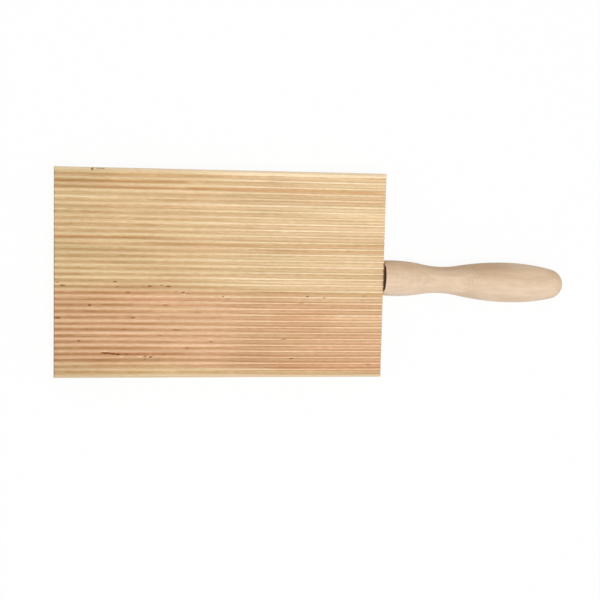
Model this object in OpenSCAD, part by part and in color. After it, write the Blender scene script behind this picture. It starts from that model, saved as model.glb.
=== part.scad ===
// Gnocchi board: a small ridged wooden board with a turned handle glued into its end grain.
// The origin is the centre of the board's underside. The handle points along +X, the ridges run
// along X on the top, and +Z is up. Lengths are millimetres and angles are degrees.

/* [Board] */
// Length of the board, along the ridges
board_len = 135; // [110:1:170]
// Width of the board, across the ridges
board_w = 85; // [60:1:110]
// Thickness of the board, from its underside to the ridge tops
board_t = 11; // [10:0.5:15]

/* [Ridges] */
// Distance from one groove to the next
groove_pitch = 2.5; // [2.2:0.1:3.5]
// Width of a groove at the ridge tops
groove_w = 1.7; // [1.5:0.1:1.9]
// Depth of a groove
groove_depth = 0.7; // [0.4:0.1:0.7]
// Place of the middle groove, across the board from its centre line
comb_shift = -0.3; // [-0.5:0.1:0.5]
// Least distance from an outer groove's centre to the edge of a board with a centred comb
comb_margin = 2; // [1.5:0.1:4]

/* [Handle] */
// Distance from the board's end to the tip of the handle
handle_reach = 80; // [70:1:100]
// Gap between the board's end and the shoulder of the handle, on the handle's axis
shoulder_gap = 0.45; // [0.3:0.05:1]
// Place of the handle's axis across the board's end
handle_offset = -1.1; // [-5:0.1:5]
// Angle of the handle's axis in the plane of the board
handle_skew = -1.6; // [-2:0.05:2]
// Diameter of the swell beside the shoulder
swell_d = 15.1; // [13:0.1:17]
// Distance from the shoulder to the fullest place of the swell
swell_at = 5; // [3:0.5:8]
// Diameter of the neck
neck_d = 11.2; // [9:0.1:12]
// Distance from the shoulder to the neck
neck_at = 25; // [22:0.5:28]
// Radius of the hollow that is turned at the neck
neck_arc = 40; // [25:1:45]
// Diameter of the belly, the widest place of the handle
belly_d = 17; // [15:0.1:20]
// Distance from the shoulder to the belly
belly_at = 55; // [50:0.5:60]
// Diameter of the ball that rounds the end
end_d = 12.9; // [11:0.1:13.5]
// Radius of the rounded edge of the shoulder
shoulder_round = 0.5; // [0.3:0.1:1]

/* [Joint] */
// Diameter of the tenon that enters the board
tenon_d = 6.7; // [5:0.1:8]
// Length of the tenon inside the board
tenon_len = 18; // [10:0.5:30]
// Bevel on the end of the tenon
tenon_bevel = 0.5; // [0.2:0.1:1]
// Thickness of the glue layer between tenon and bore
glue_t = 0.15; // [0.1:0.01:0.25]
// Room that the bore leaves past the end of the tenon
bore_room = 1; // [0.5:0.1:3]

/* [Hidden] */

board_colour = [0.88, 0.75, 0.56];
handle_colour = [0.87, 0.77, 0.64];
glue_colour = [0.93, 0.88, 0.72];

// Clearance that keeps a cut past the face it opens
past = 1;
// Clearance between the glue and the wood on each side of it
glue_slip = 0.01;
// How far the glue stops short of the bore's mouth
glue_setback = 0.5;

// The grooves are round-bottomed: a circle sunk by the depth is as wide as the groove at the top
groove_r = (groove_w * groove_w / 4 + groove_depth * groove_depth) / (2 * groove_depth);
groove_count = floor((board_w - 2 * comb_margin) / groove_pitch) + 1;
first_groove = comb_shift - (groove_count - 1) * groove_pitch / 2;

bore_d = tenon_d + 2 * glue_t;
bore_depth = tenon_len + bore_room;

// The handle's outline is four arcs and a ball end. Each arc meets the next without a corner, so
// the radii of a hump and a hollow add up to a sum set by the places of their extremes, and the
// tail's radius follows from the ball that it has to touch.
function arc_sum(run, rise) = (run * run + rise * rise) / (2 * rise);
handle_len = handle_reach - shoulder_gap;
swell_arc = arc_sum(neck_at - swell_at, (swell_d - neck_d) / 2) - neck_arc;
belly_arc = arc_sum(belly_at - neck_at, (belly_d - neck_d) / 2) - neck_arc;
tail_len = handle_len - belly_at;
tail_arc = (tail_len * tail_len + belly_d * belly_d / 4 - end_d * tail_len) / (belly_d - end_d);
end_r = end_d / 2;
end_at = handle_len - end_r;

// Where one arc passes into the next, measured from the shoulder
swell_stop = swell_at + (neck_at - swell_at) * swell_arc / (swell_arc + neck_arc);
neck_stop = neck_at + (belly_at - neck_at) * neck_arc / (neck_arc + belly_arc);
tail_stop = belly_at + (end_at - belly_at) * tail_arc / (tail_arc - end_r);

function hump(s, at, r, arc) = r - arc + sqrt(arc * arc - (s - at) * (s - at));
function hollow(s, at, r, arc) = r + arc - sqrt(arc * arc - (s - at) * (s - at));
function handle_r(s) =
    s < swell_stop ? hump(s, swell_at, swell_d / 2, swell_arc) :
    s < neck_stop ? hollow(s, neck_at, neck_d / 2, neck_arc) :
    s < belly_at ? hump(s, belly_at, belly_d / 2, belly_arc) :
    hump(s, belly_at, belly_d / 2, tail_arc);

// Number of straight steps along the handle's body, round its end and round its shoulder's edge
body_steps = 40;
end_steps = 10;
edge_steps = 4;

// Half of the handle's section, tenon included: radius across, distance from the shoulder along
edge_r = handle_r(shoulder_round) - shoulder_round;
end_angle = acos((tail_stop - end_at) / end_r);
tenon_outline = [
    [0, -shoulder_gap - tenon_len],
    [tenon_d / 2 - tenon_bevel, -shoulder_gap - tenon_len],
    [tenon_d / 2, -shoulder_gap - tenon_len + tenon_bevel],
    [tenon_d / 2, 0]
];
edge_outline = [
    for (i = [0 : edge_steps - 1])
        let (a = 90 * i / edge_steps)
        [edge_r + shoulder_round * sin(a), shoulder_round * (1 - cos(a))]
];
body_outline = [
    for (i = [0 : body_steps])
        let (s = shoulder_round + (tail_stop - shoulder_round) * i / body_steps)
        [handle_r(s), s]
];
end_outline = [
    for (i = [1 : end_steps])
        let (a = end_angle * (1 - i / end_steps))
        [end_r * sin(a), end_at + end_r * cos(a)]
];

// Puts what is drawn along +Z onto the handle's axis, with z = 0 on the board's end
module on_handle_axis() {
    translate([board_len / 2, handle_offset, board_t / 2])
        rotate([0, 0, handle_skew])
        rotate([0, 90, 0])
        children();
}

module bore() {
    on_handle_axis()
        translate([0, 0, -bore_depth])
        cylinder(d = bore_d, h = bore_depth + past, $fn = 64);
}

module board_section() {
    difference() {
        translate([-board_w / 2, 0])
            square([board_w, board_t]);
        for (i = [0 : groove_count - 1])
            translate([first_groove + i * groove_pitch, board_t + groove_r - groove_depth])
                circle(r = groove_r, $fn = 32);
    }
}

// The ridged board, one blank of wood with the grooves milled from end to end
module board() {
    color(board_colour)
        difference() {
            translate([-board_len / 2, 0, 0])
                rotate([90, 0, 90])
                linear_extrude(height = board_len)
                board_section();
            bore();
        }
}

// The turned handle, with the tenon that its own wood forms
module handle() {
    color(handle_colour)
        on_handle_axis()
        translate([0, 0, shoulder_gap])
        rotate_extrude($fn = 96)
        polygon(concat(tenon_outline, edge_outline, body_outline, end_outline));
}

// The hardened glue, a thin cup round the tenon
module glue_film() {
    color(glue_colour)
        on_handle_axis()
        difference() {
            translate([0, 0, -bore_depth + glue_slip])
                cylinder(d = bore_d - 2 * glue_slip, h = bore_depth - glue_setback, $fn = 64);
            translate([0, 0, -tenon_len - glue_slip])
                cylinder(d = tenon_d + 2 * glue_slip, h = tenon_len + past, $fn = 64);
        }
}

board();
handle();
glue_film();
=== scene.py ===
import math

import bmesh
import bpy
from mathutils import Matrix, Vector, noise


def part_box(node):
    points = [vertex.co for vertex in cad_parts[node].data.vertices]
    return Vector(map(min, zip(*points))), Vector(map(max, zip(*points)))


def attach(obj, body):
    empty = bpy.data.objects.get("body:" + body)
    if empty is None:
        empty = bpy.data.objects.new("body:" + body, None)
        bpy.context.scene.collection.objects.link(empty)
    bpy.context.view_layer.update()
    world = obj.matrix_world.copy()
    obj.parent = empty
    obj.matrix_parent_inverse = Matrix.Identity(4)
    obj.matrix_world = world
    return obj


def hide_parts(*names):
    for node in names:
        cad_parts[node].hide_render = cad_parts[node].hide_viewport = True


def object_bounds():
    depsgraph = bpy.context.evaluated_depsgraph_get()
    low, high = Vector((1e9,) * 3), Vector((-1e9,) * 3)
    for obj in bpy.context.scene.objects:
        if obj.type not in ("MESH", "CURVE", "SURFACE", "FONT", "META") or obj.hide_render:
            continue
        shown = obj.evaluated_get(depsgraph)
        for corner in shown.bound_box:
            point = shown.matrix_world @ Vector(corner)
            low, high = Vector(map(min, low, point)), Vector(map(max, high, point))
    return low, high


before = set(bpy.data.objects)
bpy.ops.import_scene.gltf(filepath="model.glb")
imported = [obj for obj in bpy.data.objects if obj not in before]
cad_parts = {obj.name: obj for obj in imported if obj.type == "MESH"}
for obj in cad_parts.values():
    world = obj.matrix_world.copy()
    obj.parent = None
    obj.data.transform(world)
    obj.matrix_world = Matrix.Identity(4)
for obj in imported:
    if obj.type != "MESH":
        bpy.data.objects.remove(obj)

# A ridged gnocchi board with a turned handle, on a white floor in soft light from above.
# Lengths are metres, in the frame of the construction: the origin is the centre of the board's
# underside, the handle points along +X and the ridges are on top.

# Turns millimetres into metres
MM = 0.001

cad_low, cad_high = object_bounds()
board_low, board_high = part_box("board")

# The board
BOARD_LEN = board_high[0] - board_low[0]
BOARD_W = board_high[1] - board_low[1]
BOARD_T = board_high[2] - board_low[2]

# The comb of grooves. They are a little narrower and shallower in the board's far part.
GROOVE_PITCH = 2.5 * MM
COMB_SHIFT = -0.3 * MM
COMB_MARGIN = 2 * MM
GROOVE_W_FAR, GROOVE_W_NEAR = 1.5 * MM, 1.9 * MM
GROOVE_DEPTH_FAR, GROOVE_DEPTH_NEAR = 0.62 * MM, 0.7 * MM
GROOVE_COUNT = math.floor((BOARD_W - 2 * COMB_MARGIN) / GROOVE_PITCH) + 1
FIRST_GROOVE = COMB_SHIFT - (GROOVE_COUNT - 1) * GROOVE_PITCH / 2

# Worn edges of the board: at its far end, at the handle's end and along its sides
FAR_EDGE, NEAR_EDGE, SIDE_EDGE = 0.32 * MM, 0.14 * MM, 0.3 * MM

# How far the lips of the grooves are worn, and half the width of a torn place
LIP_WEAR = 0.15 * MM
TEAR_HALF_W = 0.36 * MM

# Relief of the wood's fibres on the board's top and sides, and of turning and sanding on the handle
FIBRE_RELIEF, SIDE_RELIEF = 0.010 * MM, 0.02 * MM
TURNING_RELIEF, SANDING_RELIEF = 0.006 * MM, 0.03 * MM

# Steps of the board's mesh: from ring to ring, from a worn edge to the first point on the flat, and
# the least one between the rim and the comb
RING_STEP, FLAT_STEP, LEAST_STEP = 0.56 * MM, 0.4 * MM, 0.1 * MM

# The handle, its outline of four arcs and a ball end, and its tenon
SHOULDER_GAP = 0.45 * MM
HANDLE_REACH = 80 * MM
HANDLE_OFFSET = -1.1 * MM
HANDLE_SKEW = math.radians(-1.6)
SWELL_D, SWELL_AT = 15.1 * MM, 5 * MM
NECK_D, NECK_AT, NECK_ARC = 11.2 * MM, 25 * MM, 40 * MM
BELLY_D, BELLY_AT = 17 * MM, 55 * MM
END_D = 12.9 * MM
SHOULDER_ROUND = 0.5 * MM
TENON_D, TENON_LEN, TENON_BEVEL = 6.7 * MM, 18 * MM, 0.5 * MM
BORE_D, BORE_DEPTH = 7 * MM, 19 * MM

# Places on the ridges where the cutter tore the wood, in millimetres: along the board, across it,
# length, slope, depth, and tone from 1 for a dark torn hollow, partly painted shade, to -1 for pale
# fresh wood
TEARS = [
    (-64.2, -4.9, 2.6, 0.0, 0.15, 0.9), (-66.2, -3.6, 1.2, 0.3, 0.10, 0.7),
    (-43.2, -3.2, 1.8, 0.0, 0.15, 0.8), (-42.5, -5.4, 3.0, 0.0, 0.05, 0.5),
    (-29.3, -5.0, 2.6, 0.0, 0.15, 0.9), (-31.8, -5.2, 2.0, 0.0, 0.05, 0.5),
    (-21.6, -5.0, 2.6, -0.05, 0.15, 1.0), (-24.5, -4.6, 2.4, 0.0, 0.05, 0.5),
    (-15.8, -7.4, 1.6, 0.0, 0.20, 1.0), (-15.4, -8.3, 1.6, 0.0, 0.05, -0.9),
    (-14.0, -7.8, 1.4, -0.2, 0.10, 0.7), (-18.8, -6.9, 2.0, 0.0, 0.05, 0.5),
    (-53.3, -12.9, 1.8, 0.0, 0.15, 1.0), (-53.3, -14.0, 1.4, 0.0, 0.05, -0.5),
    (-38.2, -7.6, 2.6, 0.0, 0.10, 0.7), (-66.0, -18.1, 3.0, 0.0, 0.20, 1.0),
    (-35.9, -17.9, 2.2, 0.0, 0.15, 0.8), (-57.6, -27.3, 1.6, 0.0, 0.20, 0.9),
    (-46.8, -32.3, 5.0, -0.04, 0.25, 1.3), (-47.2, -31.5, 3.2, 0.0, 0.05, -0.9),
    (-42.8, -32.8, 6.0, -0.10, 0.15, 1.1), (-40.6, -33.8, 3.6, -0.10, 0.05, -0.7),
    (-38.5, -32.9, 3.0, 0.0, 0.05, 0.6), (-33.0, -33.9, 2.6, -0.10, 0.05, -0.9),
    (-30.9, -33.7, 1.2, 0.0, 0.15, 1.0), (-31.0, -34.8, 1.2, 0.0, 0.15, 0.9),
    (-28.6, -33.9, 2.2, 0.05, 0.15, 0.9), (-29.2, -33.2, 1.8, 0.0, 0.05, -0.6),
    (-14.0, -30.4, 2.6, 0.0, 0.10, 0.5), (-4.1, -27.7, 2.2, 0.0, 0.10, 0.6),
    (-4.1, -26.6, 2.2, 0.0, 0.05, -0.6), (0.4, -9.0, 1.2, 0.0, 0.15, 0.7),
    (2.5, -10.1, 3.4, 0.0, 0.10, 0.6), (35.5, -8.75, 1.7, 0.0, 0.15, 0.9),
    (35.9, -9.45, 3.4, 0.0, 0.05, -0.7), (42.5, -9.3, 2.0, -0.1, 0.10, 0.5),
    (59.5, -8.5, 2.6, 0.05, 0.10, 0.5), (58.6, -10.4, 2.2, 0.1, 0.05, 0.5),
    (32.8, -11.4, 3.0, -0.1, 0.25, 0.35), (25.9, -26.6, 3.0, 0.1, 0.25, 0.35),
    (29.2, -34.75, 2.6, -0.05, 0.15, 0.9), (28.9, -34.05, 2.2, 0.0, 0.05, -0.7),
    (62.2, -37.4, 2.2, 0.1, 0.10, 0.6), (-52.6, 42.2, 1.4, 0.0, 0.30, 1.0),
    (-49.2, 42.2, 5.2, 0.0, 0.05, 0.55), (-52.6, 40.9, 1.2, 0.2, 0.05, 0.3),
]

# Lines and bands in the board's grain, in millimetres: place across the board at its middle, slope,
# width, both ends along the board, and strength from 1 for dark to -1 for pale
GRAIN_LINES = [
    (37.4, 0.0, 0.9, -80, -14, 0.75), (35.0, 0.0, 0.9, -80, -10, 0.45),
    (34.9, 0.0, 0.9, -14, 66, 0.85), (15.0, 0.0, 0.9, -80, -28, 0.70),
    (12.5, 0.0, 0.9, -30, 80, 0.50), (9.9, 0.0, 0.9, 20, 80, 0.45),
    (-7.5, 0.0, 0.9, -80, 80, 0.40), (-32.5, 0.0, 0.9, -80, -16, 0.50),
    (31.0, -0.010, 0.6, -20, 80, 0.20), (-5.7, -0.040, 1.0, -80, 20, 0.15),
    (-11.4, -0.020, 0.9, 10, 80, 0.22), (-21.0, -0.028, 0.7, -60, 40, 0.18),
    (-38.4, 0.0, 0.7, 20, 34, 0.5), (38.8, 0.0, 5.0, -46, 18, -0.5),
    (24.0, 0.0, 6.0, -46, 10, -0.3), (21.5, 0.0, 5.0, 14, 80, -0.5),
    (11.0, 0.0, 4.0, -20, 80, 0.15), (33.0, 0.0, 4.0, 24, 80, 0.20),
    (-16.5, 0.0, 4.0, 22, 46, 0.3), (-38.5, 0.0, 4.0, 22, 80, 0.35),
    (-38.5, 0.0, 4.0, -46, -18, -0.3), (-22.0, 0.0, 3.5, 44, 80, -0.4),
    (39.5, 0.0, 5.0, 30, 80, -0.25), (-10.5, 0.0, 5.0, -80, -20, -0.3),
    (39.9, 0.0, 1.2, -80, -28, -0.6), (20.0, 0.0, 1.0, -80, -4, -0.5),
]

# Shades that multiply the wood's colour, and white, as red, green, blue and opacity
DARK_GRAIN = (0.78, 0.58, 0.40, 1)
PALE_GRAIN = (1.20, 1.24, 1.30, 1)
WHITE = (1.0, 1.0, 1.0, 1.0)

# How strongly red, green and blue follow when the wood gets darker or paler
TONE_SWING = (0.75, 1.0, 1.35)

# Middle of the year rings in the board's end grain, in millimetres
HEART_Y, HEART_Z = 22.0, -66.0

# The photograph's width and the camera's focal length, in pixels
IMAGE_PX = 600
FOCAL_PX = 1200


def linear(red, green, blue):
    """A colour as a screen shows it, 0 to 255, turned into the linear values of a shader."""
    def one(value):
        v = value / 255
        return v / 12.92 if v <= 0.04045 else ((v + 0.055) / 1.055) ** 2.4
    return (one(red), one(green), one(blue), 1.0)


def smooth_step(value, low, high):
    """Rises softly from 0 to 1 while the value goes from low to high."""
    t = min(max((value - low) / (high - low), 0.0), 1.0)
    return t * t * (3 - 2 * t)


def sin_cos(degrees):
    """Sine and cosine of an angle."""
    return math.sin(math.radians(degrees)), math.cos(math.radians(degrees))


def rough(x, y, z):
    """Smooth noise from about -1 to 1, the same in each run."""
    return noise.noise(Vector((x, y, z)))


def link_object(name, data):
    """Puts an object with this data in the scene."""
    added = bpy.data.objects.new(name, data)
    bpy.context.scene.collection.objects.link(added)
    return added


def add_piece(name, mesh, flat=()):
    """Turns a built mesh into an object at the origin, smooth but for its flat faces."""
    mesh.faces.index_update()
    flat_faces = {face.index for face in flat}
    data = bpy.data.meshes.new(name)
    mesh.to_mesh(data)
    mesh.free()
    for face in data.polygons:
        face.use_smooth = face.index not in flat_faces
    return link_object(name, data)


# Board shape

def near_share(x):
    """0 over the board's far part and 1 beside the handle, where the grooves are wide."""
    return smooth_step(x, -10 * MM, 24 * MM)


def comb_slip(x):
    """How far the comb has slipped across the board at a place along it."""
    return -0.2 * MM * smooth_step(x, -20 * MM, 60 * MM)


def groove_shape(k, x):
    """Centre, width and depth of one groove at a place along the board."""
    share = near_share(x)
    width = GROOVE_W_FAR + share * (GROOVE_W_NEAR - GROOVE_W_FAR)
    depth = GROOVE_DEPTH_FAR + share * (GROOVE_DEPTH_NEAR - GROOVE_DEPTH_FAR)
    width *= 1 + 0.05 * rough(x / (25 * MM), 7.3 * k, 1.0)
    depth *= 1 - 0.10 * abs(rough(x / (35 * MM), 5.1 * k, 2.0))
    wobble = 0.04 * MM * rough(x / (18 * MM), 3.7 * k, 3.0)
    centre = FIRST_GROOVE + k * GROOVE_PITCH + comb_slip(x) + wobble
    return centre, width, depth


def cut_depth(off, width, depth):
    """Depth of a round-bottomed groove at a distance from its centre line, its lips worn round."""
    r = (width**2 / 4 + depth**2) / (2 * depth)
    shares = (-1, -0.5, 0, 0.5, 1)
    total = 0.0
    for share in shares:
        place = abs(off + share * LIP_WEAR)
        if place < width / 2:
            total += math.sqrt(r**2 - place**2) - (r - depth)
    return total / len(shares)


def comb_points(x):
    """Points of the ridged top across the board at one place along it, as place and depth."""
    points = []
    for k in range(GROOVE_COUNT):
        centre, width, depth = groove_shape(k, x)
        # Places across a groove, as shares of half its width
        for share in (-1.12, -0.98, -0.8, -0.45, 0, 0.45, 0.8, 0.98, 1.12):
            off = share * width / 2
            points.append((centre + off, cut_depth(off, width, depth)))
        points.append((centre + GROOVE_PITCH / 2, 0.0))
    rim = BOARD_W / 2 - SIDE_EDGE
    inner = [point for point in points if abs(point[0]) < rim - LEAST_STEP]
    return [(-rim, 0.0)] + inner + [(rim, 0.0)]


def tear_at(x, y, tears):
    """How deep the wood is torn at a place on the top, and the tone that the tear has there."""
    drop = 0.0
    tone = 0.0
    for along, across, length, slope, depth, shade in tears:
        from_middle = x - along * MM
        u = from_middle / (length * MM / 2)
        v = (y - across * MM - slope * from_middle) / TEAR_HALF_W
        ragged = 0.3 * rough(x / (0.7 * MM), y / (0.4 * MM), along)
        inside = 1 - math.sqrt(u * u + v * v) + ragged
        if inside > 0:
            share = min(1.0, 2 * inside)
            drop = max(drop, depth * MM * share)
            tone += shade * share
    return drop, tone


def side_outline():
    """The section's outline from the top's rim to the underside, with the way out at each point."""
    half = BOARD_W / 2
    e = SIDE_EDGE
    points = []
    for a in (30, 60, 90):
        out, up = sin_cos(a)
        points.append((half - e + e * out, BOARD_T - e + e * up, out, up))
    for z in (BOARD_T - e - FLAT_STEP, 0.66 * BOARD_T, 0.33 * BOARD_T, e + FLAT_STEP):
        points.append((half, z, 1, 0))
    for a in (90, 120, 150, 180):
        out, up = sin_cos(a)
        points.append((half - e + e * out, e + e * up, out, up))
    points.append((half - e - FLAT_STEP, 0, 0, -1))
    return points


def ring_places():
    """Places of the mesh's rings along the board, each with how far the worn end draws it in."""
    rings = []
    for a in (0, 30, 60):
        out, up = sin_cos(a)
        rings.append((board_low[0] + FAR_EDGE * (1 - up), FAR_EDGE * (1 - out)))
    start, stop = board_low[0] + FAR_EDGE, board_high[0] - NEAR_EDGE
    count = round((stop - start) / RING_STEP)
    for i in range(count + 1):
        rings.append((start + (stop - start) * i / count, 0.0))
    for a in (45, 0):
        out, up = sin_cos(a)
        rings.append((board_high[0] - NEAR_EDGE * (1 - up), NEAR_EDGE * (1 - out)))
    return rings


def add_ring(mesh, tone_layer, x, draw):
    """Adds the closed outline of the board's section at one place along it."""
    ring = []
    tears = [tear for tear in TEARS if abs(x / MM - tear[0]) < tear[2]]
    for y, depth in comb_points(x):
        drop, tone = tear_at(x, y, tears)
        fibre = FIBRE_RELIEF * (1 + rough(x / (5 * MM), y / (0.35 * MM), 0.0))
        vert = mesh.verts.new((x, y, BOARD_T - depth - drop - fibre - draw))
        vert[tone_layer] = tone
        ring.append(vert)
    sides = []
    for y, z, out, up in side_outline():
        worn = draw + SIDE_RELIEF * (1 + rough(x / (12 * MM), z / (4 * MM), y))
        sides.append((y - out * worn, z - up * worn))
    for y, z in sides:
        ring.append(mesh.verts.new((x, y, z)))
    for y, z in reversed(sides):
        ring.append(mesh.verts.new((x, -y, z)))
    return ring


def add_bore(mesh, last_ring):
    """Closes the board's end round the mouth of the bore, adds the bore, and returns flat faces."""
    around = 48
    mouth = []
    bottom = []
    for j in range(around):
        across = BORE_D / 2 * math.cos(2 * math.pi * j / around)
        up = BORE_D / 2 * math.sin(2 * math.pi * j / around)
        mouth.append(mesh.verts.new(on_axis(across * math.tan(HANDLE_SKEW), across, up)))
        bottom.append(mesh.verts.new(on_axis(-BORE_DEPTH, across, up)))
    edges = []
    for j in range(around):
        edges.append(mesh.edges.new((mouth[j], mouth[(j + 1) % around])))
    for a, b in zip(last_ring, last_ring[1:] + last_ring[:1]):
        edges.append(mesh.edges.get((a, b)))
    filled = bmesh.ops.triangle_fill(mesh, edges=edges, use_beauty=True, normal=(1, 0, 0))
    flat = [item for item in filled["geom"] if isinstance(item, bmesh.types.BMFace)]
    for j in range(around):
        k = (j + 1) % around
        mesh.faces.new((mouth[j], mouth[k], bottom[k], bottom[j]))
    flat.append(mesh.faces.new(bottom))
    return flat


def build_board():
    """The ridged board as one closed mesh with the bore for the tenon."""
    mesh = bmesh.new()
    tone_layer = mesh.verts.layers.float.new("tear")
    rings = [add_ring(mesh, tone_layer, x, draw) for x, draw in ring_places()]
    for a, b in zip(rings, rings[1:]):
        count = len(a)
        for j in range(count):
            k = (j + 1) % count
            mesh.faces.new((a[j], a[k], b[k], b[j]))
    flat = [mesh.faces.new(rings[0])] + add_bore(mesh, rings[-1])
    bmesh.ops.recalc_face_normals(mesh, faces=mesh.faces)
    return add_piece("ridged_board", mesh, flat)


# Handle shape

def arc_sum(run, rise):
    """Sum of the radii of a hump and a hollow that meet without a corner."""
    return (run * run + rise * rise) / (2 * rise)


# Radii of the outline's arcs, and where one arc passes into the next, from the shoulder
HANDLE_LEN = HANDLE_REACH - SHOULDER_GAP
SWELL_ARC = arc_sum(NECK_AT - SWELL_AT, (SWELL_D - NECK_D) / 2) - NECK_ARC
BELLY_ARC = arc_sum(BELLY_AT - NECK_AT, (BELLY_D - NECK_D) / 2) - NECK_ARC
TAIL_LEN = HANDLE_LEN - BELLY_AT
TAIL_ARC = (TAIL_LEN**2 + BELLY_D**2 / 4 - END_D * TAIL_LEN) / (BELLY_D - END_D)
END_R = END_D / 2
END_AT = HANDLE_LEN - END_R
SWELL_STOP = SWELL_AT + (NECK_AT - SWELL_AT) * SWELL_ARC / (SWELL_ARC + NECK_ARC)
NECK_STOP = NECK_AT + (BELLY_AT - NECK_AT) * NECK_ARC / (NECK_ARC + BELLY_ARC)
TAIL_STOP = BELLY_AT + (END_AT - BELLY_AT) * TAIL_ARC / (TAIL_ARC - END_R)


def hump(s, at, r, arc):
    """Radius on an arc that bulges out to r at one place."""
    return r - arc + math.sqrt(arc**2 - (s - at) ** 2)


def hollow(s, at, r, arc):
    """Radius on an arc that dips in to r at one place."""
    return r + arc - math.sqrt(arc**2 - (s - at) ** 2)


def handle_radius(s):
    """Radius of the turned handle at a distance from its shoulder."""
    if s < SWELL_STOP:
        return hump(s, SWELL_AT, SWELL_D / 2, SWELL_ARC)
    if s < NECK_STOP:
        return hollow(s, NECK_AT, NECK_D / 2, NECK_ARC)
    if s < BELLY_AT:
        return hump(s, BELLY_AT, BELLY_D / 2, BELLY_ARC)
    return hump(s, BELLY_AT, BELLY_D / 2, TAIL_ARC)


def handle_outline():
    """Points of the section, as distance from the shoulder and radius, from tenon to tip."""
    tenon_steps, edge_steps, body_steps, end_steps = 8, 6, 140, 20
    back = -SHOULDER_GAP - TENON_LEN
    r = TENON_D / 2
    outline = [(back, 0.0), (back, r - TENON_BEVEL), (back + TENON_BEVEL, r)]
    outline += [(back * (1 - i / tenon_steps), r) for i in range(1, tenon_steps)]
    # Points close to the corner between tenon and shoulder keep it crisp
    outline += [(-0.02 * MM, r), (0.0, r + 0.1 * MM)]
    edge_r = handle_radius(SHOULDER_ROUND) - SHOULDER_ROUND
    for i in range(edge_steps + 1):
        a = math.pi / 2 * i / edge_steps
        s = SHOULDER_ROUND * (1 - math.cos(a))
        outline.append((s, edge_r + SHOULDER_ROUND * math.sin(a)))
    for i in range(1, body_steps + 1):
        s = SHOULDER_ROUND + (TAIL_STOP - SHOULDER_ROUND) * i / body_steps
        outline.append((s, handle_radius(s)))
    end_angle = math.acos((TAIL_STOP - END_AT) / END_R)
    for i in range(1, end_steps + 1):
        a = end_angle * (1 - i / end_steps)
        outline.append((END_AT + END_R * math.cos(a), END_R * math.sin(a)))
    return outline


def on_axis(d, across, up):
    """A point of the handle's own space, d along its axis from the board's end, in its place."""
    x = board_high[0] + d * math.cos(HANDLE_SKEW) - across * math.sin(HANDLE_SKEW)
    y = HANDLE_OFFSET + d * math.sin(HANDLE_SKEW) + across * math.cos(HANDLE_SKEW)
    return (x, y, BOARD_T / 2 + up)


def worn_radius(s, r, a):
    """The radius with faint turning marks and sanded flats, never above the turned one."""
    turned = TURNING_RELIEF * (1 + rough(s / (0.9 * MM), 4.0, 0.0))
    sanded = SANDING_RELIEF * (1 + rough(s / (14 * MM), 1.4 * math.cos(a), 1.4 * math.sin(a)))
    return r - (turned + sanded) * smooth_step(s, -0.1 * MM, 1.0 * MM)


def build_handle():
    """The handle turned from one piece, tenon included."""
    around = 112
    mesh = bmesh.new()
    rings = []
    for s, r in handle_outline():
        d = s + SHOULDER_GAP
        if r < 1e-6:
            rings.append([mesh.verts.new(on_axis(d, 0, 0))])
            continue
        ring = []
        for j in range(around):
            a = 2 * math.pi * j / around
            worn = worn_radius(s, r, a)
            ring.append(mesh.verts.new(on_axis(d, worn * math.cos(a), worn * math.sin(a))))
        rings.append(ring)
    for a, b in zip(rings, rings[1:]):
        for j in range(around):
            k = (j + 1) % around
            # A ring of one point, at either tip, makes triangles
            corners = [a[j % len(a)], b[j % len(b)], b[k % len(b)], a[k % len(a)]]
            mesh.faces.new(list(dict.fromkeys(corners)))
    bmesh.ops.recalc_face_normals(mesh, faces=mesh.faces)
    return add_piece("turned_handle", mesh)


# Materials. Their places and lengths are millimetres, and a shade multiplies a colour.

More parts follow.
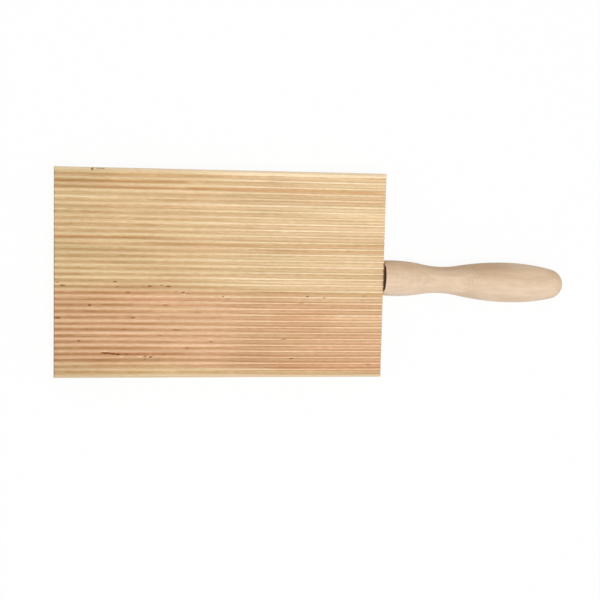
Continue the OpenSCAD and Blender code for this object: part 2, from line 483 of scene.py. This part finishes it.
class Nodes:
    """A short way to build a material's node tree."""

    def __init__(self, name):
        self.material = bpy.data.materials.new(name)
        self.material.use_nodes = True
        self.tree = self.material.node_tree
        self.shader = self.tree.nodes["Principled BSDF"]

    def new(self, kind):
        """Adds a node."""
        return self.tree.nodes.new(kind)

    def put(self, value, socket):
        """Links an output to a socket, or writes a plain value on it."""
        if isinstance(value, (int, float, tuple)):
            socket.default_value = value
        else:
            self.tree.links.new(value, socket)

    def math(self, operation, a, b=0.0):
        """Works out one operation on one or two numbers."""
        node = self.new("ShaderNodeMath")
        node.operation = operation
        self.put(a, node.inputs[0])
        self.put(b, node.inputs[1])
        return node.outputs[0]

    def add(self, *values):
        """Sum of some numbers."""
        total = values[0]
        for value in values[1:]:
            total = self.math("ADD", total, value)
        return total

    def times(self, *values):
        """Product of some numbers."""
        total = values[0]
        for value in values[1:]:
            total = self.math("MULTIPLY", total, value)
        return total

    def centred(self, value):
        """A noise from 0 to 1, moved to go from -0.5 to 0.5."""
        return self.add(value, -0.5)

    def level(self, factor, low, high):
        """Goes evenly from low to high while the factor goes from 0 to 1."""
        return self.add(self.times(factor, high - low), low)

    def distance(self, a, b):
        """Length of the way that goes a in one direction and b across it."""
        return self.math("SQRT", self.add(self.times(a, a), self.times(b, b)))

    def range(self, value, low, high, to_low=0.0, to_high=1.0):
        """Goes softly from to_low to to_high while the value goes from low to high."""
        node = self.new("ShaderNodeMapRange")
        node.interpolation_type = "SMOOTHSTEP"
        for number, socket in zip((value, low, high, to_low, to_high), node.inputs[:5]):
            self.put(number, socket)
        return node.outputs[0]

    def hill(self, value, centre, reach):
        """1 where the value is at the centre, falling softly to 0 at the reach on both sides."""
        off = self.math("ABSOLUTE", self.math("SUBTRACT", value, centre))
        return self.range(off, 0.0, reach, 1.0, 0.0)

    def split(self, vector):
        """The three parts of a vector."""
        node = self.new("ShaderNodeSeparateXYZ")
        self.put(vector, node.inputs[0])
        return node.outputs[:3]

    def position(self):
        """Position as three numbers."""
        scale = self.new("ShaderNodeVectorMath")
        scale.operation = "SCALE"
        scale.inputs["Scale"].default_value = 1 / MM
        self.put(self.new("ShaderNodeTexCoord").outputs["Object"], scale.inputs[0])
        return self.split(scale.outputs[0])

    def facing_y(self):
        """How far the surface faces +Y, from -1 to 1."""
        return self.split(self.new("ShaderNodeTexCoord").outputs["Normal"])[1]

    def attribute(self, name):
        """A number that the mesh carries."""
        node = self.new("ShaderNodeAttribute")
        node.attribute_name = name
        return node.outputs["Fac"]

    def noise(self, x, y, z, lengths, detail=2.0, roughness=0.5):
        """Noise from 0 to 1 whose features have these lengths."""
        place = self.new("ShaderNodeCombineXYZ")
        for value, length, socket in zip((x, y, z), lengths, place.inputs):
            self.put(self.math("DIVIDE", value, length), socket)
        node = self.new("ShaderNodeTexNoise")
        node.inputs["Scale"].default_value = 1.0
        node.inputs["Detail"].default_value = detail
        node.inputs["Roughness"].default_value = roughness
        self.put(place.outputs[0], node.inputs["Vector"])
        return node.outputs["Fac"]

    def ramp(self, value, low, high):
        """Goes evenly between two colours, each given after the value that it stands at."""
        node = self.new("ShaderNodeValToRGB")
        for element, (place, colour) in zip(node.color_ramp.elements, (low, high)):
            element.position = place
            element.color = colour
        self.put(value, node.inputs[0])
        return node.outputs[0]

    def mix(self, factor, a, b, blend="MIX"):
        """Goes from colour a to colour b, or blends b into a, while the factor goes from 0 to 1."""
        node = self.new("ShaderNodeMix")
        node.data_type = "RGBA"
        node.blend_type = blend
        # The node has its sockets for colours after those for numbers and vectors
        for value, number in ((factor, 0), (a, 6), (b, 7)):
            self.put(value, node.inputs[number])
        return node.outputs[2]

    def tint(self, colour, factor, shade):
        """Multiplies a colour by a shade where the factor is 1."""
        return self.mix(factor, colour, shade, "MULTIPLY")

    def vary(self, colour, value, amount):
        """Makes a colour darker and warmer where the noise is low, paler where it is high."""
        swing = self.times(self.centred(value), amount)
        shade = self.new("ShaderNodeCombineXYZ")
        for socket, share in zip(shade.inputs, TONE_SWING):
            self.put(self.add(self.times(swing, share), 1.0), socket)
        return self.tint(colour, 1.0, shade.outputs[0])

    def surface(self, colour, roughness, specular):
        """Gives the shader its colour, its roughness and the level of its mirroring."""
        self.put(colour, self.shader.inputs["Base Color"])
        self.put(roughness, self.shader.inputs["Roughness"])
        self.put(specular, self.shader.inputs["Specular IOR Level"])

    def bump(self, height, strength, distance):
        """Roughens the shading by a height from 0 to 1, over a distance in metres."""
        node = self.new("ShaderNodeBump")
        node.inputs["Strength"].default_value = strength
        node.inputs["Distance"].default_value = distance
        self.put(height, node.inputs["Height"])
        self.put(node.outputs[0], self.shader.inputs["Normal"])

    def mix_shader(self, factor, a, b):
        """Goes from shader node a to shader node b while the factor goes from 0 to 1."""
        node = self.new("ShaderNodeMixShader")
        for value, socket in zip((factor, a.outputs[0], b.outputs[0]), node.inputs):
            self.put(value, socket)
        return node


def pinkish_zone(n, x, across):
    """1 where the wood is pinkish brown, over most of the -Y half, with frayed edges."""
    fray = n.centred(n.noise(x, across, 5.0, (32, 1.3, 1)))
    first_edge = n.range(n.add(across, n.times(fray, 10.0)), -4.4, -10.4)
    last_edge = n.range(n.add(across, n.times(fray, 4.0)), -38.8, -37.2)
    return n.times(first_edge, last_edge)


def wood_zones(n, x, across, pinkish):
    """Broad zones of the board's colour: pinkish or yellowish, darker at the far end and at -Y."""
    near = n.range(x, -45, 50)
    far_zones = n.mix(pinkish, linear(232, 201, 156), linear(232, 190, 150))
    near_zones = n.mix(pinkish, linear(254, 227, 186), linear(255, 218, 179))
    colour = n.mix(near, far_zones, near_zones)
    colour = n.tint(colour, n.range(x, -42, -64), (0.95, 0.96, 0.95, 1))
    low_shade = n.mix(near, (0.93, 0.91, 0.89, 1), (0.96, 0.915, 0.895, 1))
    return n.tint(colour, n.range(across, -12, -36), low_shade)


def wood_streaks(n, colour, x, grain):
    """Streaks along the grain, from broad to fine, and a slight drift of the colour's cast."""
    broad = n.noise(x, grain, 0.0, (120, 4.5, 1))
    middling = n.noise(x, grain, 7.0, (110, 1.5, 1), detail=3.0, roughness=0.6)
    fine = n.noise(x, grain, 3.0, (34, 0.45, 1), roughness=0.6)
    short = n.noise(x, grain, 9.0, (3.0, 0.5, 1))
    colour = n.vary(colour, broad, 0.5)
    colour = n.vary(colour, middling, n.range(x, -20, 20, 0.75, 0.58))
    colour = n.vary(colour, fine, 0.6)
    colour = n.vary(colour, short, 0.5)
    drift = n.range(n.noise(x, grain, 13.0, (40, 2.4, 1)), 0.38, 0.62)
    return n.tint(colour, 1.0, n.mix(drift, (1.012, 0.990, 1.0, 1), (0.992, 1.006, 0.985, 1)))


def grain_lines(n, colour, x, tilted, wander):
    """The plainest lines and bands of the grain, each fading in and out at its ends."""
    fade = 4
    for place, slope, width, start, stop, strength in GRAIN_LINES:
        line = n.math("SUBTRACT", tilted, n.add(n.times(x, slope), n.times(wander, -0.1)))
        after_start = n.range(x, start - fade, start + fade)
        before_stop = n.range(x, stop + fade, stop - fade)
        here = n.times(n.hill(line, place, width), n.times(after_start, before_stop), abs(strength))
        colour = n.tint(colour, here, DARK_GRAIN if strength > 0 else PALE_GRAIN)
    return colour


def groove_painted_shade(n, colour, x, y, depth, pinkish):
    """Painted shade in the grooves, whose depth goes from 0 at the ridge tops to 1 at the bottom.

    The painted shade is dark and uneven over the far part. Beside the handle it is paler, and
    more painted shade darkens the walls by their depth and by the way they face.
    """
    in_top = n.range(depth, 2.2, 1.7)
    near_part = n.range(x, -8, 20)
    far_part = n.math("SUBTRACT", 1.0, near_part)

    # Painted shade in the far part's valleys, uneven in strength and in its olive or brown cast
    kind = n.range(n.noise(x, y, 2.0, (18, 1.3, 1)), 0.40, 0.60)
    valley_painted_shade_colour = n.mix(kind, (0.60, 0.53, 0.41, 1), (0.62, 0.49, 0.37, 1))
    uneven = n.range(n.noise(x, y, 4.0, (14, 1.3, 1)), 0.35, 0.65, 0.65, 1.0)
    deep = n.add(n.times(n.range(depth, 0.10, 0.60), 0.4), n.times(n.range(depth, 0.55, 0.86), 0.6))
    strength = n.add(n.times(pinkish, n.range(x, -20, -55, 0.10, 0.35)), 0.75)
    far_valley_painted_shade = n.times(deep, in_top, far_part, uneven, strength)
    colour = n.tint(colour, far_valley_painted_shade, valley_painted_shade_colour)

    dashes = n.range(n.noise(x, y, 6.0, (7, 1.1, 1), detail=1.0), 0.66, 0.74)
    mostly_far = n.range(x, 20, -20, 0.2, 1.0)
    dashes = n.times(dashes, deep, in_top, mostly_far, n.level(pinkish, 0.3, 1.0))
    colour = n.tint(colour, dashes, (0.66, 0.54, 0.42, 1))

    # Painted shade beside the handle, over the valleys and on the walls
    near_valley_painted_shade = n.times(n.range(depth, 0.08, 0.32), in_top, near_part)
    near_valley_painted_shade = n.times(near_valley_painted_shade, n.level(pinkish, 0.85, 1.10))
    colour = n.tint(colour, near_valley_painted_shade, (0.80, 0.755, 0.70, 1))
    near_wall_painted_shade = n.times(n.hill(depth, 0.42, 0.38), in_top, near_part)
    near_wall_painted_shade = n.times(near_wall_painted_shade, n.level(pinkish, 0.7, 1.0))
    colour = n.tint(colour, near_wall_painted_shade, (0.84, 0.81, 0.77, 1))
    # More painted shade on the walls, set by whether they face -Y or +Y
    facing_y = n.facing_y()
    painted_shade_facing_minus_y = n.times(n.range(facing_y, 0.10, -0.25), near_valley_painted_shade)
    colour = n.tint(colour, painted_shade_facing_minus_y, (0.93, 0.92, 0.90, 1))
    painted_shade_facing_plus_y = n.times(n.range(facing_y, 0.05, 0.40), near_valley_painted_shade, n.level(pinkish, 0.2, 1.0))
    return n.tint(colour, painted_shade_facing_plus_y, (0.93, 0.90, 0.87, 1))


def rim_tones_and_painted_shade(n, colour, x, y, below, depth):
    """Fades the rims along the sides, greys the far end's rim and paints shade in its groove ends.
    """
    half_w = BOARD_W / MM / 2
    far_end = board_low[0] / MM
    side_rim = n.range(n.math("ABSOLUTE", y), half_w - 1.6, half_w - 0.4)
    side_rim = n.times(side_rim, n.range(below, 1.0, 0.6))
    colour = n.mix(n.times(side_rim, 0.6), colour, linear(218, 198, 166))
    far_rim = n.times(n.range(x, far_end + 0.45, far_end + 0.15), n.range(below, 2.0, 1.2))
    greyed = n.times(far_rim, n.range(y, 20, 6, 0.35, 0.75))
    colour = n.mix(greyed, colour, linear(124, 118, 96))
    # Painted shade in the ends of some grooves at the far rim
    some_grooves = n.range(n.noise(0.0, y, 0.0, (1, 2.6, 1)), 0.42, 0.62)
    groove_end_painted_shade = n.times(far_rim, n.times(n.range(depth, 0.3, 0.7), some_grooves))
    return n.tint(colour, groove_end_painted_shade, (0.40, 0.40, 0.37, 1))


def torn_places(n, colour, x, y):
    """Dark torn hollows, partly painted shade, and pale fresh wood, where the mesh carries a tear's
    tone.
    """
    tone = n.attribute("tear")
    ragged = n.centred(n.noise(x, y, 8.0, (0.8, 0.22, 1), detail=1.0))
    tear = n.add(tone, n.times(ragged, tone, 1.8))
    # The dark of a torn hollow is partly painted shade
    colour = n.mix(n.times(n.range(tear, 0.10, 0.85), 0.92), colour, linear(112, 58, 16))
    return n.mix(n.times(n.range(tear, -0.15, -0.9), 0.75), colour, linear(252, 226, 190))


def end_grain(n, y, z, pores):
    """Arcs of the year rings round a heart far below the board, with fine dark pores."""
    from_heart = n.distance(n.add(y, -HEART_Y), n.add(z, -HEART_Z))
    uneven = n.times(n.noise(0.0, y, z, (1, 9, 9)), 4.0)
    ring = n.noise(n.add(from_heart, uneven), 0.0, 0.0, (1.1, 1, 1), detail=1.0)
    colour = n.mix(n.range(ring, 0.34, 0.66), linear(212, 181, 138), linear(180, 145, 102))
    colour = n.vary(colour, n.noise(0.0, y, z, (1, 0.5, 2.5)), 0.3)
    return n.tint(colour, n.range(pores, 0.5, 0.7), (0.7, 0.64, 0.56, 1))


def board_material():
    """Pale bare wood, its grain a little askew to the ridges, with end grain at both ends."""
    n = Nodes("board_wood")
    x, y, z = n.position()
    below = n.math("SUBTRACT", BOARD_T / MM, z)
    depth = n.math("DIVIDE", below, GROOVE_DEPTH_NEAR / MM)
    # The grain leans across the board, so that it shifts where the grooves cut into it
    tilted = n.add(y, n.times(below, 0.55))
    wander = n.times(n.centred(n.noise(x, y, z, (60, 14, 14))), 1.6)
    across = n.add(tilted, n.times(x, 0.028), wander)
    grain = n.add(tilted, n.times(x, 0.008), n.times(wander, 0.6))
    pinkish = pinkish_zone(n, x, across)

    colour = wood_zones(n, x, across, pinkish)
    colour = wood_streaks(n, colour, x, grain)
    colour = grain_lines(n, colour, x, tilted, wander)
    colour = groove_painted_shade(n, colour, x, y, depth, pinkish)
    colour = rim_tones_and_painted_shade(n, colour, x, y, below, depth)
    colour = torn_places(n, colour, x, y)
    half_len = BOARD_LEN / MM / 2
    at_end = n.range(n.math("ABSOLUTE", x), half_len - 0.06, half_len - 0.02)
    pores = n.noise(0.0, y, z, (1, 0.22, 0.22))
    colour = n.mix(at_end, colour, end_grain(n, y, z, pores))

    n.surface(colour, roughness=0.7, specular=0.15)
    fibre = n.noise(x, across, z, (4, 0.16, 0.3))
    n.bump(n.mix(at_end, fibre, pores), strength=0.5, distance=0.03 * MM)
    return n.material


def handle_place(n):
    """Place on the handle: along its axis from the shoulder, to its +Y side, and up."""
    x, y, z = n.position()
    dx, dy = n.add(x, -board_high[0] / MM), n.add(y, -HANDLE_OFFSET / MM)
    sine, cosine = math.sin(HANDLE_SKEW), math.cos(HANDLE_SKEW)
    along = n.add(n.times(dx, cosine), n.times(dy, sine), -SHOULDER_GAP / MM)
    side = n.add(n.times(dx, -sine), n.times(dy, cosine))
    return along, side, n.add(z, -BOARD_T / MM / 2)


def handle_zones(n, along, side, wander):
    """Handle tones: painted shade, tan and darker, towards +Y; darker at the -Y neck; pale by the
    joint.
    """
    # Painted shade: more tan towards +Y, and darker over the middle of the +Y side
    painted_shade_towards_plus_y = n.range(n.add(side, n.times(wander, 1.5)), -4, 7)
    colour = n.mix(painted_shade_towards_plus_y, linear(237, 210, 182), linear(222, 191, 158))
    plus_side_painted_shade = n.times(n.range(side, 1.5, 5.5), n.range(along, 17, 25), n.range(along, 66, 38))
    colour = n.tint(colour, plus_side_painted_shade, (0.86, 0.85, 0.85, 1))
    plus_edge = n.times(n.range(side, 5.0, 8.0), n.range(along, 40, 52))
    colour = n.tint(colour, plus_edge, (1.0, 1.05, 1.12, 1))
    minus_neck = n.times(n.range(side, -3.0, -5.5), n.hill(along, 34, 14))
    colour = n.tint(colour, minus_neck, (0.91, 0.92, 0.93, 1))
    minus_swell = n.times(n.range(side, -4.5, -7.2), n.range(along, 24, 14))
    return n.mix(n.times(minus_swell, 0.6), colour, linear(240, 226, 212))


def handle_streaks(n, colour, along, side, up, wander):
    """Rings, clouds and turning marks of the handle's wood."""
    into_wood = n.add(up, n.times(side, 0.10), n.times(along, -0.05), wander)
    rings = n.noise(into_wood, 0.0, 0.0, (0.8, 1, 1), roughness=0.6)
    long_clouds = n.noise(along, side, up, (30, 1.8, 1.8))
    short_clouds = n.noise(along, side, up, (7, 4, 4))
    turning = n.noise(along, 0.0, 0.0, (0.7, 1, 1), detail=1.0)
    colour = n.vary(colour, rings, 0.20)
    colour = n.vary(colour, long_clouds, 0.3)
    colour = n.vary(colour, short_clouds, 0.2)
    return n.vary(colour, turning, n.range(along, 22, 12, 0.06, 0.22))


def handle_marks(n, colour, along, side, up, wander):
    """Cut rings at the neck, a darker patch past it and a pale fleck on the belly."""
    bend = n.add(side, -1.0)
    bent = n.add(along, n.times(bend, bend, -0.25), n.times(wander, 2.0))
    arcs = n.range(n.math("SINE", n.times(bent, 3.4)), -0.2, 1.0)
    arcs_here = n.times(n.hill(along, 38, 8), n.range(up, 2.0, 5.0), 0.5)
    colour = n.tint(colour, n.times(arcs_here, arcs), (0.90, 0.86, 0.81, 1))
    patch = n.times(n.hill(along, 46, 14), n.range(side, 1.0, 6.0), n.range(up, -2, 2))
    colour = n.tint(colour, n.times(patch, 0.7), (0.90, 0.84, 0.78, 1))
    fleck = n.times(n.hill(along, 68, 9), n.hill(side, 5.5, 3.0), n.range(up, 0, 3))
    return n.mix(n.times(fleck, 0.35), colour, linear(243, 212, 178))


def joint_marks(n, colour, along, side, up):
    """Brown specks by the joint, and near-black painted shade on the shoulder above the board."""
    specks = n.noise(along, side, up, (1.2, 0.5, 0.5), detail=0.0)
    near_joint = n.times(n.range(along, 8, 1), n.range(up, 5.5, 3.5))
    specks_here = n.times(n.range(specks, 0.70, 0.76), near_joint)
    colour = n.tint(colour, specks_here, (0.6, 0.45, 0.3, 1))
    # Painted shade, a mottled near-black brown, on the shoulder's face where it stands above the
    # board
    above_board = n.range(n.add(up, n.times(specks, 0.8)), 4.8, 5.5)
    shoulder = n.times(n.range(along, 0.46, 0.26), above_board, n.range(side, -5.2, -4.4))
    shade_mottle = n.range(n.noise(along, side, up, (1, 1.3, 0.7)), 0.40, 0.65)
    return n.mix(shoulder, colour, n.mix(shade_mottle, linear(34, 22, 13), linear(80, 52, 31)))


def handle_material():
    """Smooth pinkish-beige wood with a straight grain, its rings cut into arcs by the turning."""
    n = Nodes("handle_wood")
    along, side, up = handle_place(n)
    wander = n.times(n.centred(n.noise(along, side, up, (50, 9, 9))), 1.6)
    fibre = n.noise(along, side, up, (6, 0.35, 0.35))
    colour = handle_zones(n, along, side, wander)
    colour = handle_streaks(n, colour, along, side, up, wander)
    colour = n.vary(colour, fibre, 0.28)
    colour = handle_marks(n, colour, along, side, up, wander)
    colour = joint_marks(n, colour, along, side, up)
    n.surface(colour, roughness=0.6, specular=0.2)
    n.bump(fibre, strength=0.25, distance=0.02 * MM)
    return n.material


def glue_material():
    """Hardened wood glue, cream with faint clouds."""
    n = Nodes("glue")
    x, y, z = n.position()
    cloud = n.noise(x, y, z, (2, 2, 2))
    colour = n.ramp(cloud, (0.3, linear(226, 212, 170)), (0.7, linear(240, 230, 196)))
    n.surface(colour, roughness=0.35, specular=0.5)
    n.bump(cloud, strength=0.3, distance=0.02 * MM)
    return n.material


def seen_directly(tree):
    """1 on rays that the camera sees, straight, mirrored or through something, 0 on others."""
    paths = tree.nodes.new("ShaderNodeLightPath")
    seen = paths.outputs["Is Camera Ray"]
    for name in ("Is Glossy Ray", "Is Transmission Ray"):
        either = tree.nodes.new("ShaderNodeMath")
        either.operation = "MAXIMUM"
        tree.links.new(seen, either.inputs[0])
        tree.links.new(paths.outputs[name], either.inputs[1])
        seen = either.outputs[0]
    return seen


def floor_material():
    """White floor that keeps a faint shadow and passes into the white background."""
    n = Nodes("floor")
    n.surface((0.9, 0.9, 0.9, 1.0), roughness=0.9, specular=0.0)
    shaded = n.new("ShaderNodeBsdfDiffuse")
    plain = n.new("ShaderNodeEmission")
    for node in (shaded, plain):
        node.inputs["Color"].default_value = WHITE
    x, y = n.position()[:2]
    # Near the object a small share of what shows is shaded by the light, and far off none
    plain_share = n.range(n.distance(x, y), 200, 700, 0.92, 1.0)
    shown = n.mix_shader(plain_share, shaded, plain)
    both = n.mix_shader(seen_directly(n.tree), n.shader, shown)
    n.put(both.outputs[0], n.tree.nodes["Material Output"].inputs["Surface"])
    return n.material


# Stage, light and camera

def build_floor():
    """A floor that touches the board's far edge and the handle's belly, so it leans a little."""
    half_side = 1.5
    gap = 0.02 * MM
    rise = cad_low[2] / (board_high[0] + SHOULDER_GAP + BELLY_AT - board_low[0])
    mesh = bmesh.new()
    corners = []
    for x_side, y_side in ((-1, -1), (1, -1), (1, 1), (-1, 1)):
        x, y = x_side * half_side, y_side * half_side
        corners.append(mesh.verts.new((x, y, rise * (x - board_low[0]) - gap)))
    mesh.faces.new(corners)
    floor = add_piece("floor", mesh)
    floor.data.materials.append(floor_material())


def add_lamp(name, place, size, energy):
    """A soft square lamp aimed at the middle of the object."""
    data = bpy.data.lights.new(name, "AREA")
    data.size = size
    data.energy = energy
    lamp = link_object(name, data)
    lamp.location = place
    aim = Vector((0.03, 0.0, 0.0)) - Vector(place)
    lamp.rotation_euler = aim.to_track_quat("-Z", "Y").to_euler()


def light_scene():
    """White surroundings for the camera, soft light from the world and a large lamp overhead."""
    world = bpy.data.worlds.new("studio")
    world.use_nodes = True
    bpy.context.scene.world = world
    tree = world.node_tree
    background = tree.nodes["Background"]
    background.inputs["Color"].default_value = WHITE
    strength = tree.nodes.new("ShaderNodeMapRange")
    strength.inputs["To Min"].default_value = 0.5
    strength.inputs["To Max"].default_value = 1.0
    tree.links.new(seen_directly(tree), strength.inputs["Value"])
    tree.links.new(strength.outputs[0], background.inputs["Strength"])
    add_lamp("key", place=(0.05, -0.06, 1.0), size=0.5, energy=5.0)


def place_camera():
    """The photograph's camera: above the board's far half, leaning towards the handle."""
    data = bpy.data.cameras.new("camera")
    data.sensor_width = 36
    data.lens = FOCAL_PX * data.sensor_width / IMAGE_PX
    camera = link_object("camera", data)
    camera.location = (-46.2 * MM, 42.6 * MM, 498.1 * MM)
    camera.rotation_euler = [math.radians(a) for a in (-6.32, -9.02, 1.35)]
    bpy.context.scene.camera = camera


place_camera()
light_scene()
build_floor()

board = build_board()
board.data.materials.append(board_material())
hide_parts("board")
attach(board, "root")

handle = build_handle()
handle.data.materials.append(handle_material())
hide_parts("handle")
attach(handle, "root")

glue = glue_material()
for slot in bpy.data.objects["glue_film"].material_slots:
    slot.material = glue

bpy.context.scene.view_settings.view_transform = "Standard"
